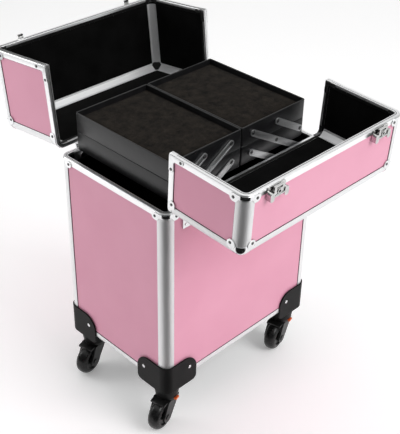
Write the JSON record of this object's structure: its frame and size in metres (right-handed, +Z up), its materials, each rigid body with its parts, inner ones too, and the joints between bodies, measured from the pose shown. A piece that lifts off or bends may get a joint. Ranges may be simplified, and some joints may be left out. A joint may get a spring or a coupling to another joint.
{
  "type": "rolling makeup case",
  "caption": "Pink hard case with aluminium edges on swivel casters. The lid splits into two halves that swing outwards over cantilever trays, and one end has a pull handle.",
  "frame": {"origin": "on the floor under the middle of the base", "axes": "+Z up, +X along the lid hinges towards the end with the pull handle, -Y towards the front with the narrower lid half"},
  "size_m": [0.3877, 0.5667, 0.5776],
  "materials": {
    "pink_panel": "glossy pale pink laminate",
    "silver_profile": "bright anodised",
    "black_board": "black laminate on board",
    "chrome_fitting": "polished",
    "steel_pin": "bright",
    "black_lining": "smooth black lining",
    "black_plastic": "fine moulded grain",
    "wheel_rubber": "satin",
    "brake_orange": "satin",
    "tray_plastic": "glossy black",
    "mat_felt": "short felt",
    "arm_steel": "zinc plated",
    "tube_aluminium": "satin anodised",
    "button_grey": "satin"
  },
  "bodies": {
    "base": {"base_front_panel": "pink_panel", "base_rear_panel": "pink_panel", "base_left_panel": "pink_panel", "base_right_panel": "pink_panel", "base_bottom_panel": "black_board", "base_edge_profiles": "silver_profile", "base_rim_rail": "silver_profile", "base_corner_brackets": "chrome_fitting", "base_rivets": "steel_pin", "base_lining": "black_lining", "caster_corner_guards": "black_plastic", "hinge_base_leaves": "chrome_fitting", "hinge_pins": "steel_pin", "tray_arm_plates": "arm_steel", "trolley_brackets": "black_plastic", "trolley_outer_tubes": "tube_aluminium"},
    "front_lid": {"front_lid_panels": "pink_panel", "front_lid_edge_profiles": "silver_profile", "front_lid_rails": "silver_profile", "front_lid_corner_brackets": "chrome_fitting", "front_lid_lining": "black_lining", "front_lid_hinge_leaves": "chrome_fitting", "latch_plates": "chrome_fitting"},
    "rear_lid": {"rear_lid_panels": "pink_panel", "rear_lid_edge_profiles": "silver_profile", "rear_lid_rails": "silver_profile", "rear_lid_corner_brackets": "chrome_fitting", "rear_lid_lining": "black_lining", "rear_lid_hinge_leaves": "chrome_fitting", "latch_catches": "chrome_fitting", "carry_handle_brackets": "chrome_fitting"},
    "left_latch": {"latch_lever_left": "chrome_fitting"},
    "right_latch": {"latch_lever_right": "chrome_fitting"},
    "carry_handle": {"carry_handle": "black_plastic"},
    "trolley_middle": {"trolley_middle_tubes": "tube_aluminium"},
    "trolley_inner": {"trolley_inner_tubes": "tube_aluminium", "trolley_grip": "black_plastic"},
    "trolley_button": {"trolley_button": "button_grey"},
    "near_long_arms": {"near_long_arms": "arm_steel"},
    "near_lower_tray": {"near_lower_tray": "tray_plastic"},
    "near_upper_tray": {"near_upper_tray": "tray_plastic", "near_upper_mat": "mat_felt"},
    "near_lower_arms": {"near_lower_arms": "arm_steel"},
    "near_upper_arms": {"near_upper_arms": "arm_steel"},
    "far_long_arms": {"far_long_arms": "arm_steel"},
    "far_lower_tray": {"far_lower_tray": "tray_plastic"},
    "far_upper_tray": {"far_upper_tray": "tray_plastic", "far_upper_mat": "mat_felt"},
    "far_lower_arms": {"far_lower_arms": "arm_steel"},
    "far_upper_arms": {"far_upper_arms": "arm_steel"},
    "caster_front_left": {"caster_fork_front_left": "black_plastic"},
    "wheel_front_left": {"caster_wheel_front_left": "wheel_rubber"},
    "brake_front_left": {"brake_lever_front_left": "brake_orange"},
    "caster_front_right": {"caster_fork_front_right": "black_plastic"},
    "wheel_front_right": {"caster_wheel_front_right": "wheel_rubber"},
    "brake_front_right": {"brake_lever_front_right": "brake_orange"},
    "caster_rear_left": {"caster_fork_rear_left": "black_plastic"},
    "wheel_rear_left": {"caster_wheel_rear_left": "wheel_rubber"},
    "caster_rear_right": {"caster_fork_rear_right": "black_plastic"},
    "wheel_rear_right": {"caster_wheel_rear_right": "wheel_rubber"}
  },
  "joints": [
    {"name": "front_lid_hinge", "type": "hinge", "parent": "base", "child": "front_lid", "pos_m": [0, -0.1242, 0.4362], "axis": [-1, 0, 0], "range_deg": [0, 92.6]},
    {"name": "rear_lid_hinge", "type": "hinge", "parent": "base", "child": "rear_lid", "pos_m": [0, 0.1242, 0.4362], "axis": [1, 0, 0], "range_deg": [0, 96.4]},
    {"name": "left_latch_lift", "type": "hinge", "parent": "front_lid", "child": "left_latch", "pos_m": [-0.113, -0.27364, 0.51971], "axis": [1, 0, 0], "range_deg": [0, 80]},
    {"name": "right_latch_lift", "type": "hinge", "parent": "front_lid", "child": "right_latch", "pos_m": [0.113, -0.27364, 0.51971], "axis": [1, 0, 0], "range_deg": [0, 80]},
    {"name": "carry_handle_lift", "type": "hinge", "parent": "rear_lid", "child": "carry_handle", "pos_m": [0, 0.28294, 0.53532], "axis": [1, 0, 0], "range_deg": [-6.4, 78.6]},
    {"name": "near_tray_swing", "type": "hinge", "parent": "base", "child": "near_long_arms", "pos_m": [-0.136, 0, 0.426], "axis": [0, 1, 0], "range_deg": [-112, 0]},
    {"name": "near_lower_tray_level", "type": "hinge", "parent": "near_long_arms", "child": "near_lower_tray", "pos_m": [-0.08, 0, 0.4585], "axis": [0, 1, 0], "range_deg": [0, 112]},
    {"name": "near_upper_tray_level", "type": "hinge", "parent": "near_long_arms", "child": "near_upper_tray", "pos_m": [-0.024, 0, 0.491], "axis": [0, 1, 0], "range_deg": [0, 112]},
    {"name": "near_lower_arm_swing", "type": "hinge", "parent": "base", "child": "near_lower_arms", "pos_m": [-0.078, 0, 0.426], "axis": [0, 1, 0], "range_deg": [-112, 0]},
    {"name": "near_upper_arm_swing", "type": "hinge", "parent": "near_lower_tray", "child": "near_upper_arms", "pos_m": [-0.136, 0, 0.4585], "axis": [0, 1, 0], "range_deg": [-112, 0]},
    {"name": "far_tray_swing", "type": "hinge", "parent": "base", "child": "far_long_arms", "pos_m": [0.136, 0, 0.426], "axis": [0, -1, 0], "range_deg": [-112, 0]},
    {"name": "far_lower_tray_level", "type": "hinge", "parent": "far_long_arms", "child": "far_lower_tray", "pos_m": [0.08, 0, 0.4585], "axis": [0, -1, 0], "range_deg": [0, 112]},
    {"name": "far_upper_tray_level", "type": "hinge", "parent": "far_long_arms", "child": "far_upper_tray", "pos_m": [0.024, 0, 0.491], "axis": [0, -1, 0], "range_deg": [0, 112]},
    {"name": "far_lower_arm_swing", "type": "hinge", "parent": "base", "child": "far_lower_arms", "pos_m": [0.078, 0, 0.426], "axis": [0, -1, 0], "range_deg": [-112, 0]},
    {"name": "far_upper_arm_swing", "type": "hinge", "parent": "far_lower_tray", "child": "far_upper_arms", "pos_m": [0.136, 0, 0.4585], "axis": [0, -1, 0], "range_deg": [-112, 0]},
    {"name": "swivel_front_left", "type": "hinge", "parent": "base", "child": "caster_front_left", "pos_m": [-0.144, -0.094, 0.095], "axis": [0, 0, 1], "continuous": true},
    {"name": "roll_front_left", "type": "hinge", "parent": "caster_front_left", "child": "wheel_front_left", "pos_m": [-0.16349, -0.0985, 0.027], "axis": [0.225, -0.9744, 0], "continuous": true},
    {"name": "brake_front_left", "type": "hinge", "parent": "caster_front_left", "child": "brake_front_left", "pos_m": [-0.14137, -0.1054, 0.0579], "axis": [0.9744, 0.225, 0], "range_deg": [0, 8]},
    {"name": "swivel_front_right", "type": "hinge", "parent": "base", "child": "caster_front_right", "pos_m": [0.144, -0.094, 0.095], "axis": [0, 0, 1], "continuous": true},
    {"name": "roll_front_right", "type": "hinge", "parent": "caster_front_right", "child": "wheel_front_right", "pos_m": [0.12451, -0.0985, 0.027], "axis": [0.225, -0.9744, 0], "continuous": true},
    {"name": "brake_front_right", "type": "hinge", "parent": "caster_front_right", "child": "brake_front_right", "pos_m": [0.14663, -0.1054, 0.0579], "axis": [0.9744, 0.225, 0], "range_deg": [0, 8]},
    {"name": "swivel_rear_left", "type": "hinge", "parent": "base", "child": "caster_rear_left", "pos_m": [-0.144, 0.094, 0.095], "axis": [0, 0, 1], "continuous": true},
    {"name": "roll_rear_left", "type": "hinge", "parent": "caster_rear_left", "child": "wheel_rear_left", "pos_m": [-0.16349, 0.0895, 0.027], "axis": [0.225, -0.9744, 0], "continuous": true},
    {"name": "swivel_rear_right", "type": "hinge", "parent": "base", "child": "caster_rear_right", "pos_m": [0.144, 0.094, 0.095], "axis": [0, 0, 1], "continuous": true},
    {"name": "roll_rear_right", "type": "hinge", "parent": "caster_rear_right", "child": "wheel_rear_right", "pos_m": [0.12451, 0.0895, 0.027], "axis": [0.225, -0.9744, 0], "continuous": true},
    {"name": "trolley_lower_stage", "type": "slide", "parent": "base", "child": "trolley_middle", "axis": [0, 0, 1], "range_m": [0, 0.17]},
    {"name": "trolley_upper_stage", "type": "slide", "parent": "trolley_middle", "child": "trolley_inner", "axis": [0, 0, 1], "range_m": [0, 0.17]},
    {"name": "trolley_button_press", "type": "slide", "parent": "trolley_inner", "child": "trolley_button", "axis": [0, 0, -1], "range_m": [0, 0.003], "stiffness_N_per_m": 600}
  ],
  "couplings": [
    {"joint": "near_lower_tray_level", "follows": "near_tray_swing", "ratio": -1},
    {"joint": "near_upper_tray_level", "follows": "near_tray_swing", "ratio": -1},
    {"joint": "near_lower_arm_swing", "follows": "near_tray_swing", "ratio": 1},
    {"joint": "near_upper_arm_swing", "follows": "near_tray_swing", "ratio": 1},
    {"joint": "far_lower_tray_level", "follows": "far_tray_swing", "ratio": -1},
    {"joint": "far_upper_tray_level", "follows": "far_tray_swing", "ratio": -1},
    {"joint": "far_lower_arm_swing", "follows": "far_tray_swing", "ratio": 1},
    {"joint": "far_upper_arm_swing", "follows": "far_tray_swing", "ratio": 1}
  ]
}
